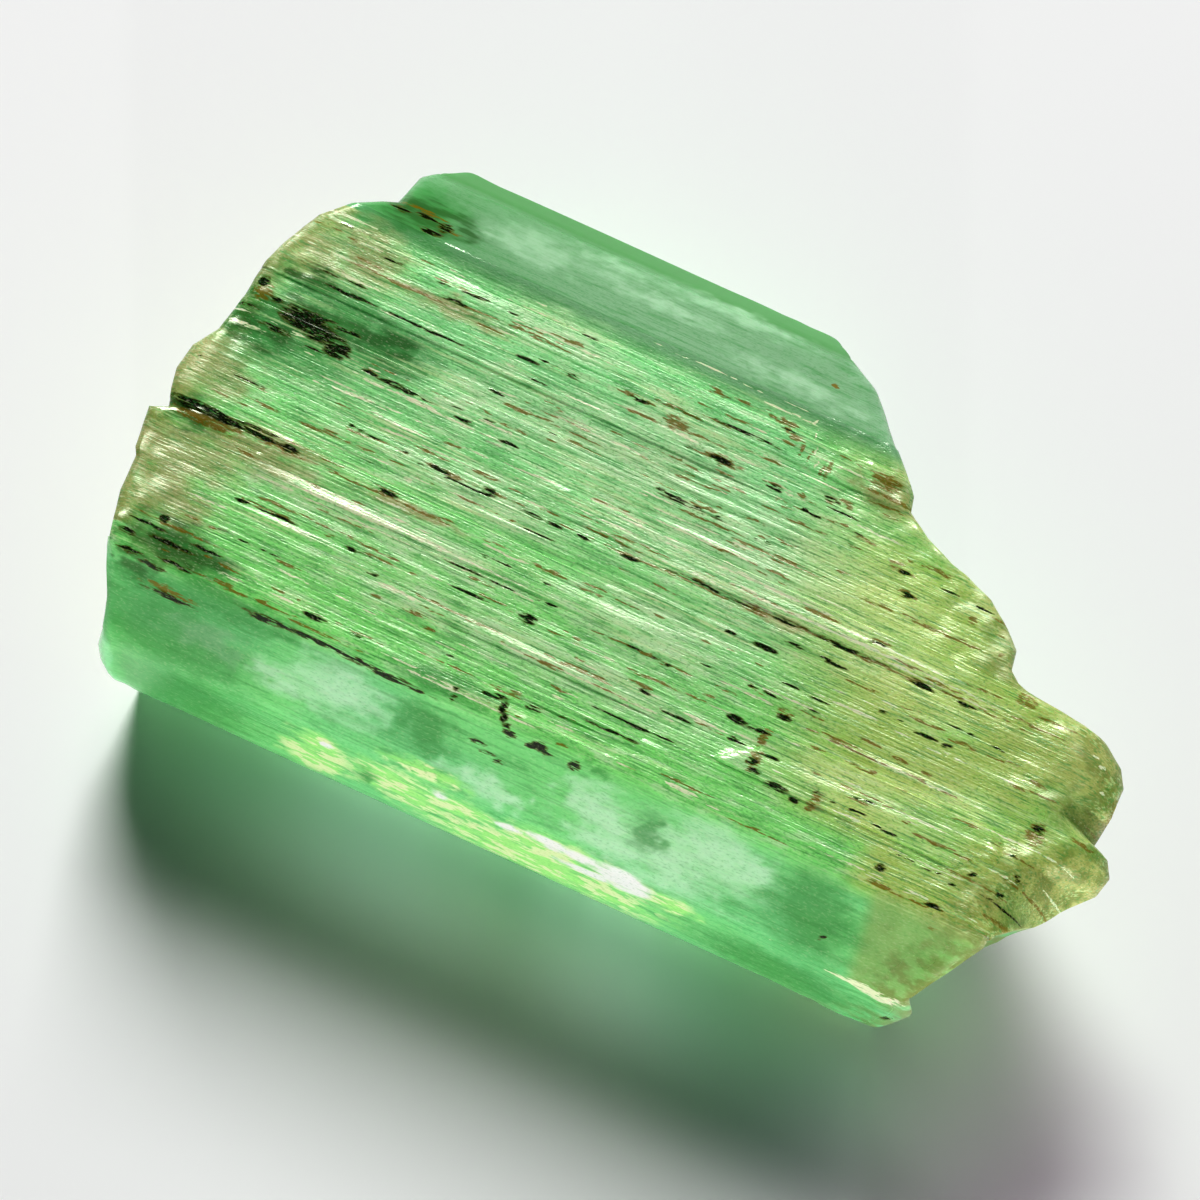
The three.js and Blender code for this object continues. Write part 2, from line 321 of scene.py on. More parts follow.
def close_end(end, outward):
    """Closes one end of all rows with a break. Outward is -1 at the left and 1 at the right."""
    here = np.concatenate(points)
    upper_rim, lower_rim = upper[:, end], lower[:, end]
    along_rim = np.linspace(0, 1, len(upper_rim))
    along_foot = np.linspace(0, 1, len(lower_rim))
    foot = np.stack([np.interp(along_rim, along_foot, here[lower_rim][:, axis])
                     for axis in range(3)], axis=1)
    lines = [upper_rim]
    for level in range(1, BREAK_LEVELS):
        share = level / BREAK_LEVELS
        line = here[upper_rim] * (1 - share) + foot * share
        y, z = line[:, 1] / MM, line[:, 2] / MM
        hackle = 0.5 + 0.5 * drift(y * 1.6, z * 2.2, 31) + 0.25 * drift(y * 4.5, z * 5.0, 32)
        hackle = hackle + 0.1 * drift(y * 13.0, z * 13.0, 33)
        line[:, 0] -= outward * BREAK_ROUGHNESS * hackle * MM * min(1, share / BREAK_ONSET)
        inner = number_points(line[None, 1:-1], around_front_ridge[1:-1, 0])[0]
        lines.append(np.concatenate([upper_rim[:1], inner, upper_rim[-1:]]))
    lines.append(lower_rim)
    for above, below in zip(lines, lines[1:]):
        zip_lines(*((below, above) if outward > 0 else (above, below)))


close_end(end=0, outward=-1)
close_end(end=-1, outward=1)

# The faces are shaded smooth, and edges that turn more than this stay crisp.
CRISP_ANGLE = math.radians(25)
mesh = bpy.data.meshes.new("emerald_skin")
mesh.from_pydata(np.concatenate(points).tolist(), [], facets)
emerald = bpy.data.objects.new("emerald_skin", mesh)
bpy.context.collection.objects.link(emerald)
for polygon in mesh.polygons:
    polygon.use_smooth = True
mesh.set_sharp_from_angle(angle=CRISP_ANGLE)

# What lies on and just under the skin, as marks: mm along the crystal from its middle, mm round the
# section from the front ridge, half length and half width in mm. Places less than 0 are on the front
# bevel and side, and places over 4.88 are on the back bevel and side.

# Cream hairlines along the growth and small pale chips, partly painted glints on the growth lines.
pale_streaks_and_glints = [
    (-4.0, 1.56, 0.8, 0.024), (-3.6, 1.47, 1.2, 0.02), (-3.3, 1.52, 0.9, 0.014),
    (-2.2, 1.5, 1.1, 0.018), (-4.2, 1.4, 0.5, 0.013), (-3.2, 1.39, 0.9, 0.012),
    (-2.7, 1.6, 0.7, 0.012), (-1.8, 1.42, 0.6, 0.012), (-2.5, 0.83, 0.3, 0.03),
    (-4.3, 4.2, 0.8, 0.02), (-4.6, 4.02, 0.4, 0.02), (-3.9, 1.0, 0.5, 0.02),
    (-4.9, 0.88, 0.35, 0.02), (2.2, 2.54, 1.9, 0.025), (2.9, 2.62, 1.1, 0.018),
    (1.2, 2.7, 0.9, 0.02), (1.2, 0.93, 0.35, 0.03), (0.05, 0.79, 1.3, 0.015),
    (-0.5, 4.82, 1.2, 0.01), (3.3, 1.36, 1.2, 0.02), (0.4, 2.9, 0.9, 0.02),
    (-0.7, 2.62, 0.6, 0.018), (-3.4, 2.65, 0.5, 0.02), (-3.0, 2.1, 0.05, 0.03),
    (1.9, 1.6, 0.7, 0.015), (0.72, 4.75, 0.015, 0.07), (0.8, 4.6, 0.015, 0.08),
    (0.88, 4.42, 0.015, 0.08), (0.95, 4.28, 0.015, 0.07), (0.4, 4.72, 0.45, 0.014),
    (5.4, 2.42, 0.06, 0.03), (4.0, -1.4, 0.5, 0.03), (4.2, -1.5, 0.3, 0.025),
    (3.0, -1.3, 0.3, 0.015), (5.52, 2.16, 0.04, 0.03), (5.27, 2.5, 0.05, 0.025),
    (5.58, 1.95, 0.03, 0.03), (-4.6, 4.45, 0.3, 0.02),
]
# Bands in which fine pale hairlines crowd, partly painted glints.
hair_and_glint_bands = [
    (-3.5, 1.5, 1.3, 0.14), (-3.4, 2.6, 0.7, 0.12), (0.4, 2.6, 1.8, 0.2), (3.4, 1.3, 1.0, 0.12),
    (-3.6, 4.5, 0.6, 0.12), (-4.0, 0.95, 0.9, 0.14), (2.4, 2.6, 1.3, 0.16), (2.8, 1.05, 0.8, 0.12),
    (3.6, 0.98, 0.7, 0.1), (-1.0, 0.85, 1.9, 0.12), (0.5, 2.0, 1.4, 0.12), (-2.3, 2.1, 1.2, 0.15),
    (-4.5, 2.75, 0.6, 0.15), (-4.7, 4.3, 0.45, 0.22),
]
# Pits and short cracks that show black.
black_pits = [
    (-5.52, 3.56, 0.05, 0.07), (-4.92, 3.34, 0.24, 0.12), (-4.68, 3.27, 0.22, 0.1),
    (-4.41, 3.18, 0.14, 0.12), (-4.42, 3.42, 0.16, 0.02), (-5.15, 3.08, 0.16, 0.035),
    (-5.3, 3.42, 0.06, 0.03), (-4.75, 3.45, 0.14, 0.02), (-5.45, 1.87, 0.3, 0.05),
    (-5.1, 1.85, 0.25, 0.04), (-4.7, 1.84, 0.2, 0.025), (-4.33, 1.84, 0.1, 0.035),
    (-3.1, 1.84, 0.1, 0.03), (-5.18, 0.47, 0.05, 0.045), (-5.47, 0.14, 0.1, 0.03),
    (-5.08, -0.12, 0.15, 0.03), (-4.8, 0.02, 0.2, 0.025), (-4.78, -0.42, 0.28, 0.03),
    (-5.3, 0.33, 0.2, 0.025), (-4.95, 0.22, 0.25, 0.025), (-5.35, -0.05, 0.15, 0.03),
    (-4.55, 0.33, 0.2, 0.02), (-3.65, -0.15, 0.16, 0.04), (-2.9, -0.13, 0.9, 0.02),
    (-2.1, -0.16, 0.5, 0.014), (-3.15, 0.14, 0.13, 0.03), (-2.77, 3.02, 0.1, 0.02),
    (-2.2, 2.99, 0.12, 0.02), (-3.5, 3.05, 0.35, 0.018), (-2.12, 2.37, 0.07, 0.045),
    (-2.72, 2.36, 0.1, 0.025), (-1.58, 2.33, 0.1, 0.025), (-1.3, 2.33, 0.1, 0.02),
    (-0.95, 2.33, 0.08, 0.022), (-0.36, 2.34, 0.1, 0.022), (-4.6, 3.83, 0.26, 0.02),
    (-3.7, 3.83, 0.6, 0.012), (-3.5, 4.28, 0.15, 0.015), (-5.0, 4.58, 0.07, 0.02),
    (-2.5, 4.0, 0.15, 0.016), (-2.62, 3.5, 0.08, 0.016), (-1.95, 4.05, 0.08, 0.02),
    (-4.6, 5.12, 0.09, 0.035), (-4.3, 5.17, 0.12, 0.03), (-4.03, 5.12, 0.08, 0.07),
    (-4.15, 4.95, 0.13, 0.04), (-1.15, 4.12, 0.1, 0.02), (0.0, 3.87, 0.12, 0.035),
    (0.68, 3.83, 0.08, 0.03), (0.1, 4.28, 0.4, 0.013), (1.3, 3.98, 0.08, 0.02),
    (2.42, 3.54, 0.06, 0.02), (2.56, 3.31, 0.07, 0.03), (-0.4, 3.85, 0.05, 0.02),
    (0.62, 2.41, 0.5, 0.013), (-1.05, 1.18, 0.09, 0.055), (-1.75, 1.16, 0.2, 0.015),
    (1.5, 2.42, 0.12, 0.018), (2.2, 2.42, 0.25, 0.018), (3.2, 2.4, 0.13, 0.025),
    (3.75, 2.4, 0.1, 0.02), (1.03, 2.03, 0.05, 0.02), (1.45, 2.04, 0.13, 0.03),
    (3.5, 1.88, 0.12, 0.02), (3.75, 1.87, 0.05, 0.02), (1.55, 1.12, 0.1, 0.045),
    (1.8, 1.1, 0.15, 0.018), (1.62, 0.9, 0.05, 0.025), (0.5, 0.97, 0.08, 0.03),
    (0.55, 0.56, 0.5, 0.014), (0.4, 0.37, 0.3, 0.014), (2.02, 1.38, 0.08, 0.03),
    (1.94, 0.74, 0.04, 0.04), (2.0, 0.64, 0.05, 0.03), (2.3, 0.57, 0.14, 0.035),
    (2.55, 0.53, 0.05, 0.03), (3.77, 0.23, 0.05, 0.04), (4.49, 0.07, 0.09, 0.03),
    (-1.0, 0.17, 0.1, 0.02), (-0.88, 0.2, 0.06, 0.025), (-0.8, 0.1, 0.04, 0.07),
    (-0.75, -0.02, 0.03, 0.06), (-0.7, -0.12, 0.035, 0.05), (-0.63, -0.18, 0.07, 0.035),
    (-0.5, 0.24, 0.09, 0.03), (-0.36, -0.21, 0.07, 0.03), (-0.26, -0.16, 0.08, 0.05),
    (-0.18, -0.22, 0.08, 0.025), (0.17, -0.22, 0.06, 0.05), (-1.39, 0.06, 0.03, 0.035),
    (-1.37, -0.08, 0.02, 0.06), (-1.15, -0.41, 0.12, 0.014), (-0.95, -0.47, 0.08, 0.018),
    (-0.78, -0.55, 0.1, 0.014), (-0.65, -0.6, 0.05, 0.02), (3.41, -0.95, 0.03, 0.03),
    (4.28, -2.0, 0.05, 0.06), (5.02, 1.0, 0.03, 0.03), (5.15, 0.8, 0.03, 0.03),
    (5.1, 1.42, 0.05, 0.05), (4.7, 0.6, 0.04, 0.03), (4.55, 0.4, 0.03, 0.03),
    (5.05, 0.55, 0.03, 0.03),
]
# Iron stain in cracks and furrows.
rust_stains = [
    (-5.3, 1.78, 0.45, 0.1), (-4.43, 1.8, 0.3, 0.03), (-3.4, 1.8, 0.6, 0.015),
    (-2.6, 1.8, 0.3, 0.02), (-4.94, 0.42, 0.5, 0.02), (-4.2, 0.03, 0.25, 0.03),
    (-2.6, 2.36, 0.28, 0.03), (-3.7, 2.36, 0.2, 0.015), (-4.9, 2.36, 0.1, 0.015),
    (-2.55, 4.28, 0.33, 0.03), (-3.2, 4.28, 0.25, 0.012), (-1.2, 4.13, 0.25, 0.03),
    (-0.7, 4.2, 0.3, 0.02), (-0.2, 4.27, 0.3, 0.018), (-0.67, 4.05, 0.15, 0.07),
    (-1.0, 3.96, 0.3, 0.015), (-0.3, 4.02, 0.3, 0.015), (0.4, 4.1, 0.3, 0.015),
    (-0.4, 4.59, 0.12, 0.03), (0.39, 4.6, 0.07, 0.05), (0.5, 4.55, 0.06, 0.08),
    (0.62, 4.47, 0.07, 0.06), (0.72, 4.38, 0.03, 0.08), (0.85, 4.33, 0.02, 0.12),
    (1.13, 4.3, 0.04, 0.12), (1.05, 4.25, 0.03, 0.06), (0.97, 3.89, 0.06, 0.025),
    (1.3, 3.97, 0.07, 0.04), (1.5, 3.98, 0.04, 0.03), (1.92, 3.73, 0.05, 0.02),
    (2.3, 3.61, 0.08, 0.02), (0.68, 5.44, 0.04, 0.04), (0.5, 2.88, 0.2, 0.012),
    (1.1, 2.9, 0.25, 0.012), (1.3, 3.11, 0.3, 0.012), (0.3, 2.38, 0.6, 0.014),
    (1.9, 2.43, 0.6, 0.014), (-0.06, 4.62, 0.05, 0.03), (-4.35, 5.25, 0.3, 0.03),
    (-4.0, 5.1, 0.15, 0.03), (0.02, 3.87, 0.2, 0.07), (1.45, 4.03, 0.1, 0.03),
    (1.55, 3.75, 0.05, 0.03), (1.87, 3.7, 0.13, 0.02), (2.4, 3.54, 0.14, 0.025),
    (2.55, 3.31, 0.12, 0.05), (3.35, 3.37, 0.05, 0.05), (3.8, 3.13, 0.04, 0.03),
    (1.15, 2.4, 0.15, 0.05), (2.55, 2.41, 0.5, 0.018), (-0.55, 1.78, 0.17, 0.02),
    (-1.08, 1.79, 0.13, 0.02), (-0.02, -0.04, 0.07, 0.035), (-0.35, 0.58, 0.13, 0.018),
    (-1.97, 0.58, 0.08, 0.018), (-3.7, 0.58, 0.15, 0.018), (2.6, 2.1, 0.3, 0.016),
    (1.4, 0.16, 0.33, 0.016), (3.37, 1.47, 0.1, 0.03), (3.7, 1.47, 0.07, 0.025),
    (5.1, 1.35, 0.1, 0.15), (2.0, 1.42, 0.1, 0.05), (1.97, 0.75, 0.05, 0.15),
    (1.93, 1.05, 0.05, 0.12), (2.74, 0.6, 0.06, 0.13), (1.95, 0.76, 0.06, 0.1),
    (3.25, 0.82, 0.2, 0.014), (3.77, 0.82, 0.07, 0.02), (4.85, 1.9, 0.1, 0.02),
    (4.7, 1.77, 0.12, 0.015), (4.3, 1.98, 0.12, 0.015), (4.5, 0.07, 0.13, 0.04),
    (4.55, -0.2, 0.05, 0.03), (4.3, 2.75, 0.12, 0.08), (1.75, 4.42, 0.2, 0.08),
    (-4.8, -0.35, 0.35, 0.05), (5.7, 2.1, 0.04, 0.2), (5.6, 1.5, 0.15, 0.03),
    (5.3, 0.25, 0.3, 0.04), (-5.45, 3.45, 0.1, 0.12),
]
# Sandy, yellowed patches.
yellow_zones = [
    (-4.65, 4.35, 0.5, 0.42), (-5.5, 2.4, 0.5, 0.4), (-5.35, 1.3, 0.65, 0.35),
    (-5.2, 0.7, 0.5, 0.3), (-5.0, 0.15, 0.5, 0.2), (-4.7, 1.6, 0.9, 0.2), (-5.45, 1.1, 0.4, 0.5),
    (-5.1, 4.05, 0.4, 0.3), (1.85, 4.3, 0.35, 0.28), (-3.6, 4.2, 0.8, 0.12), (-4.4, 1.85, 0.7, 0.1),
    (-2.8, 1.75, 0.8, 0.06), (1.3, 2.4, 0.5, 0.08), (2.76, 0.65, 0.1, 0.16),
]
# Patches of the top face that shine lighter.
light_patches = [
    (0.9, 2.75, 2.4, 0.4), (1.2, 2.9, 1.6, 0.9), (2.9, 1.0, 0.9, 0.16), (-2.9, 1.45, 1.8, 0.3),
    (-2.9, 3.25, 0.3, 0.45), (-0.8, 0.85, 2.6, 0.28), (-1.0, 3.45, 2.2, 0.45),
    (1.3, 3.3, 1.0, 0.35), (0.4, 1.9, 1.0, 0.25), (-2.3, 4.45, 0.8, 0.3), (-2.2, 2.3, 1.3, 0.3),
    (-0.5, 4.0, 1.0, 0.3), (3.0, 2.4, 1.0, 0.4), (3.9, 1.3, 0.8, 0.2), (3.3, 0.75, 0.9, 0.14),
    (-4.3, 1.45, 0.5, 0.2), (2.2, 3.1, 1.1, 0.5), (0.2, 1.6, 1.2, 0.4),
]
# Milky veils under the front bevel.
milky_veils = [
    (-2.65, -0.6, 0.6, 0.4), (0.8, -1.0, 0.6, 0.25), (2.0, -0.55, 0.7, 0.45),
    (-4.3, -0.75, 0.5, 0.2), (-3.3, -0.85, 0.3, 0.2), (0.5, -0.6, 0.4, 0.3), (-0.6, -1.0, 0.3, 0.2),
    (-0.9, -0.95, 0.35, 0.15), (2.4, -0.5, 0.25, 0.25), (1.5, -0.85, 0.7, 0.5),
    (0.75, -0.75, 0.35, 0.3),
]
# Pale veils on the back bevel.
pale_back = [
    (-3.1, 5.5, 0.7, 0.3), (-0.8, 5.9, 0.9, 0.15), (-1.6, 5.5, 0.9, 0.15), (0.3, 5.2, 0.8, 0.2),
    (-2.2, 5.8, 0.4, 0.15),
]
# Clear places, where the depth looks dark: painted shade.
painted_depth_shade = [
    (3.25, -0.75, 0.55, 0.62), (-4.6, 3.35, 0.6, 0.3), (-3.85, 3.4, 0.5, 0.4),
    (1.2, -0.62, 0.16, 0.26), (0.4, -0.13, 0.12, 0.06), (-1.6, -0.6, 0.35, 0.3),
    (-4.8, -0.9, 1.2, 0.7), (-4.6, -1.9, 1.1, 0.6), (-4.1, -0.2, 1.0, 0.2), (-4.5, 4.98, 0.7, 0.2),
    (2.9, -2.0, 1.0, 0.4), (-4.9, 0.15, 0.7, 0.25), (-1.5, 0.05, 0.6, 0.15),
    (-2.1, -1.85, 0.12, 0.2), (-4.4, 5.4, 0.4, 0.35), (-4.9, 3.3, 0.3, 0.2),
    (-5.0, -0.3, 0.8, 0.15), (-5.0, 3.1, 0.9, 0.5), (-4.7, 3.75, 0.6, 0.2), (-5.6, -1.8, 0.4, 0.8),
]
# Cloudy dark ground round the pits at the left.
murky_places = [
    (-4.85, 3.35, 0.7, 0.3), (-5.35, 3.05, 0.5, 0.3), (-4.0, 3.45, 0.5, 0.25),
    (-4.9, 0.25, 0.7, 0.25), (-5.3, -0.15, 0.3, 0.2), (-4.3, 5.2, 0.6, 0.3), (-5.5, 1.75, 0.4, 0.2),
    (-5.1, 3.85, 0.3, 0.15),
]
# The lower front edge, where light comes out of the crystal again: a painted glow.
painted_glow_edge = [
    (-2.7, -1.6, 0.4, 0.28), (-1.0, -1.6, 0.5, 0.25), (0.1, -1.55, 0.6, 0.3),
    (0.9, -1.55, 0.5, 0.3), (-2.75, -2.0, 0.45, 0.35), (0.0, -2.05, 1.6, 0.4),
    (-1.7, -1.75, 0.6, 0.4), (1.6, -1.55, 0.35, 0.2), (-1.4, -1.15, 0.5, 0.12),
]
# The brightest spots of that edge, painted white as glow.
painted_glow_core_marks = [
    (1.02, -1.5, 0.36, 0.24), (0.1, -1.42, 0.3, 0.1), (0.5, -1.45, 0.3, 0.08),
    (-0.4, -1.5, 0.15, 0.08), (-1.2, -1.45, 0.15, 0.07), (-2.6, -1.5, 0.1, 0.06),
    (0.5, -1.75, 0.3, 0.05),
]
# Where the crystal lets more light through to its shadow, above and underneath.
clear_windows = [
    (-2.0, -2.42, 1.7, 0.4), (0.8, -2.42, 1.3, 0.4), (-3.5, 3.1, 2.2, 0.65),
    (-1.0, 2.95, 1.7, 0.65), (-2.0, UNDERSIDE, 1.7, 0.5), (0.8, UNDERSIDE, 1.3, 0.5),
]

skin = np.concatenate(points) / MM
skin_x, skin_around = skin[:, 0], np.concatenate(unrolled)
on_skin = np.arange(len(skin_x)) < upper.size
on_break = np.arange(len(skin_x)) >= upper.size + underneath.size
random_marks = np.random.default_rng(7)
STREWN_ALONG = (-5.9, 5.3)
STREWN_AROUND = (-0.05, TOP_WIDTH / MM - 0.1)
LONGEST_TRAIN = 5


def scatter(trains, length, width, gap=3.0):
    """Marks strewn over the top face in short trains, each along one growth line. They have about
    this half length and half width in mm, and gap is the step to the next in half lengths."""
    marks = []
    for x, around in zip(random_marks.uniform(*STREWN_ALONG, trains),
                         random_marks.uniform(*STREWN_AROUND, trains)):
        crowd = drift(np.array(x * 0.9), np.array(around * 1.4), 51)
        crowd = crowd + random_marks.uniform(-0.7, 0.7)
        for _ in range(random_marks.integers(1, LONGEST_TRAIN + 1) if crowd > 0 else 0):
            long = length * math.exp(random_marks.normal(0, 0.6))
            wide = width * math.exp(random_marks.normal(0, 0.35))
            marks.append((x, around + random_marks.normal(0, 0.012), long, wide))
            x += long * gap * random_marks.uniform(0.6, 1.6)
    return marks


def keep(name, values):
    """Stores a value for each point of the skin under this name."""
    attribute = mesh.attributes.new(name, "FLOAT", "POINT")
    attribute.data.foreach_set("value", values.astype(np.float32))


# How many half sizes from its middle a mark ends.
MARK_END = 1.5


def spread(name, marks, core, waver):
    """Stores, as a value from 0 to 1 at each point of the skin, how far these marks cover it. A mark
    is full within core half sizes of its middle, and its edge wavers by about this many mm. The
    breaks stay free of marks."""
    sway_x = drift(skin_x * 7, skin_around * 9, 61) + 0.5 * drift(skin_x * 17, skin_around * 23, 62)
    sway = drift(skin_x * 6, skin_around * 11, 63) + 0.6 * drift(skin_x * 15, skin_around * 29, 64)
    x = skin_x + waver * sway_x
    around = skin_around + 0.4 * waver * sway
    cover = np.zeros(len(x))
    for mark_x, mark_around, half_length, half_width in marks:
        near = np.flatnonzero(np.abs(around - mark_around) < MARK_END * half_width)
        near = near[np.abs(x[near] - mark_x) < MARK_END * half_length]
        away = np.hypot((x[near] - mark_x) / half_length, (around[near] - mark_around) / half_width)
        cover[near] = np.maximum(cover[near], np.clip((MARK_END - away) / (MARK_END - core), 0, 1))
    cover[on_break] = 0
    keep(name, cover)


spread("pale", pale_streaks_and_glints + scatter(130, 0.22, 0.012), core=0.2, waver=0.02)
spread("pale_band", hair_and_glint_bands, core=0.0, waver=0.15)
spread("pit", black_pits + scatter(90, 0.07, 0.01), core=0.4, waver=0.02)
strewn_rust = scatter(190, 0.12, 0.012) + scatter(45, 0.3, 0.01, 2.2)
spread("rust", rust_stains + strewn_rust, core=0.0, waver=0.03)
spread("yellow", yellow_zones, core=0.3, waver=0.15)
spread("light", light_patches, core=0.0, waver=0.2)
spread("milk", milky_veils, core=0.0, waver=0.25)
spread("deep", painted_depth_shade, core=0.3, waver=0.15)
spread("pale_back", pale_back, core=0.0, waver=0.25)
spread("painted_glow", painted_glow_edge, core=0.0, waver=0.12)
spread("painted_glow_core", painted_glow_core_marks, core=0.3, waver=0.06)
spread("window", clear_windows, core=0.2, waver=0.1)
spread("murk", murky_places, core=0.0, waver=0.2)
keep("around", skin_around)

# Weathering at the left rim of the top face and crust at the right rim, from 1 at the rim to 0 well
# inside it, in mm. The breaks and the underside count as rim. The left break is weathered too, less
# than its rim, and the crust grows stronger to the right.
FAR_OFF = 9.0
WEATHERED_REACH = 0.6
WEATHERED_FROM = 0.2
WEATHERED_TO = 4.8
BREAK_WEATHERING = 0.55
CRUST_REACH = 0.9
CRUST_START = 2.0
CRUST_FULL = 4.0
row_ends = np.repeat(upper_rows[:, [LEFT_RIM, RIGHT_RIM]] + shift / MM, upper.shape[1], axis=0)
from_left = np.where(skin_x < 0, 0.0, FAR_OFF)
from_left[on_skin] = skin_x[on_skin] - row_ends[:, 0]
from_right = np.where(skin_x > 0, 0.0, FAR_OFF)
from_right[on_skin] = row_ends[:, 1] - skin_x[on_skin]
patchy = (1 + 0.5 * drift(skin_x * 2.3, skin_around * 2.3, 71)
          + 0.3 * drift(skin_x * 6.1, skin_around * 6.1, 72))
at_left = np.clip(1 - from_left / (WEATHERED_REACH * patchy), 0, 1)
at_left = at_left * (skin_around > WEATHERED_FROM) * (skin_around < WEATHERED_TO)
keep("weathered", at_left * np.where(on_break, BREAK_WEATHERING * patchy, 1))
at_right = np.clip(1 - from_right / (CRUST_REACH * patchy), 0, 1)
to_full = (skin_x - CRUST_START) / (CRUST_FULL - CRUST_START)
keep("crusted", at_right * np.clip(to_full, 0, 1))

# The faces that grew, and what lies on the breaks and the underside.
keep("grown", on_skin)
keep("broken", ~on_skin)

# The finish: glassy green beryl with pale hairlines, partly painted glints, along its growth, brown
# iron stain in the pits and a yellower, cloudier zone towards the right break.


def add_node(tree, kind, **values):
    """A shader node with these settings and unlinked input values."""
    node = tree.nodes.new("ShaderNode" + kind)
    for name, value in values.items():
        if name in node.inputs:
            node.inputs[name].default_value = value
        else:
            setattr(node, name, value)
    return node


def new_group(name, inputs, outputs):
    """An empty node group with these inputs and outputs: the group tree, its inputs and outputs."""
    group = bpy.data.node_groups.new(name, "ShaderNodeTree")
    for label, value in inputs.items():
        socket = group.interface.new_socket(label, in_out="INPUT", socket_type="NodeSocketFloat")
        socket.default_value = value
    for label in outputs:
        group.interface.new_socket(label, in_out="OUTPUT", socket_type="NodeSocketFloat")
    entry = group.nodes.new("NodeGroupInput")
    way_out = group.nodes.new("NodeGroupOutput")
    return group, entry.outputs, way_out.inputs


def combine(tree, operation, first, second=None, clamp=False):
    """The result of a Math node on sockets or numbers."""
    node = add_node(tree, "Math", operation=operation, use_clamp=clamp)
    for socket, value in zip(node.inputs, (first, second)):
        if isinstance(value, bpy.types.NodeSocket):
            tree.links.new(value, socket)
        elif value is not None:
            socket.default_value = value
    return node.outputs[0]


def ramp(tree, value, start, end):
    """0 where value is at start, 1 where it is at end, eased between. start and end may be sockets."""
    node = add_node(tree, "MapRange", interpolation_type="SMOOTHSTEP")
    tree.links.new(value, node.inputs["Value"])
    for socket, limit in ((node.inputs["From Min"], start), (node.inputs["From Max"], end)):
        if isinstance(limit, bpy.types.NodeSocket):
            tree.links.new(limit, socket)
        else:
            socket.default_value = limit
    return node.outputs[0]


def place_in_mm(tree):
    """The place on the crystal, in mm, as a vector socket."""
    where = add_node(tree, "TexCoord")
    scaled = add_node(tree, "VectorMath", operation="SCALE", Scale=1 / MM)
    tree.links.new(where.outputs["Object"], scaled.inputs[0])
    return scaled.outputs[0]


# Streaks that run along the growth axis: noise drawn out to Length by Width mm. Mask is 0 where the
# noise is under Low and 1 where it is over High, and Height is the noise itself.
SEED_SHIFTS = {"X": 13.7, "Y": 31.3, "Z": 7.9}
streak_values = {"Length": 2.0, "Width": 0.1, "Seed": 0.0, "Detail": 2.0, "Low": 0.5, "High": 0.6}
streaks, given, result = new_group("growth_streaks", streak_values, ["Mask", "Height"])
spread_out = add_node(streaks, "CombineXYZ")
for axis, label in zip("XYZ", ("Length", "Width", "Width")):
    streaks.links.new(combine(streaks, "DIVIDE", 1.0, given[label]), spread_out.inputs[axis])
drawn = add_node(streaks, "VectorMath", operation="MULTIPLY")
streaks.links.new(place_in_mm(streaks), drawn.inputs[0])
streaks.links.new(spread_out.outputs[0], drawn.inputs[1])
moved = add_node(streaks, "CombineXYZ")
for axis, seed_shift in SEED_SHIFTS.items():
    streaks.links.new(combine(streaks, "MULTIPLY", given["Seed"], seed_shift), moved.inputs[axis])
elsewhere = add_node(streaks, "VectorMath", operation="ADD")
streaks.links.new(drawn.outputs[0], elsewhere.inputs[0])
streaks.links.new(moved.outputs[0], elsewhere.inputs[1])
noise = add_node(streaks, "TexNoise", Scale=1.0)
streaks.links.new(elsewhere.outputs[0], noise.inputs["Vector"])
streaks.links.new(given["Detail"], noise.inputs["Detail"])
streaks.links.new(ramp(streaks, noise.outputs["Fac"], given["Low"], given["High"]), result["Mask"])
streaks.links.new(noise.outputs["Fac"], result["Height"])

# Linear colours. The three shades tint the light that passes to the shadow.
EMERALD_GREEN = (0.27, 0.75, 0.32)
LEAF_GREEN = (0.38, 0.95, 0.28)
SEA_GREEN = (0.44, 0.99, 0.47)
BACK_GREEN = (0.3, 0.52, 0.31)
MINT = (0.71, 1.0, 0.58)
PALE_OLIVE = (0.84, 1.0, 0.4)
OLIVE = (0.61, 0.72, 0.18)
DARK_OLIVE = (0.35, 0.52, 0.17)
KHAKI = (0.53, 0.49, 0.18)
BEIGE = (0.55, 0.5, 0.2)
CRUST_BROWN = (0.22, 0.21, 0.04)
CREAM_AND_GLINT = (0.92, 1.0, 0.66)
MILK = (0.72, 1.0, 0.73)
DEEP_GREEN = (0.08, 0.36, 0.09)
DARK_GREEN = (0.04, 0.15, 0.025)
BLACK = (0.006, 0.01, 0.0)
BROWN = (0.1, 0.1, 0.004)
RUST = (0.28, 0.165, 0.001)
SAND = (0.5, 0.45, 0.2)
PAINTED_GLOW_FLAKE = (0.85, 1.0, 0.55)
PAINTED_GLOW_GREEN = (0.5, 1.0, 0.32)
HAIR_AND_GLINT_GREEN = (0.8, 1.0, 0.52)
PAINTED_GLOW_WHITE = (1.0, 1.0, 0.94)
SHADE = (0.06, 0.08, 0.12)
BRIGHT_SHADE = (0.8, 0.7, 0.78)
GREY_SHADE = (0.61, 0.51, 0.6)

green = bpy.data.materials.new("emerald")
green.use_nodes = True
tree = green.node_tree
shader = tree.nodes["Principled BSDF"]
output = tree.nodes["Material Output"]


def layer(name):
    """The value kept under this name on the skin."""
    return add_node(tree, "Attribute", attribute_name=name).outputs["Fac"]


def streak(output="Mask", **values):
    """A placed copy of the growth streaks with these values, as its output socket."""
    node = add_node(tree, "Group", node_tree=streaks)
    for label, value in values.items():
        node.inputs[label].default_value = value
    return node.outputs[output]


def times(*values):
    """The product of masks and numbers."""
    product = values[0]
    for value in values[1:]:
        product = combine(tree, "MULTIPLY", product, value)
    return product


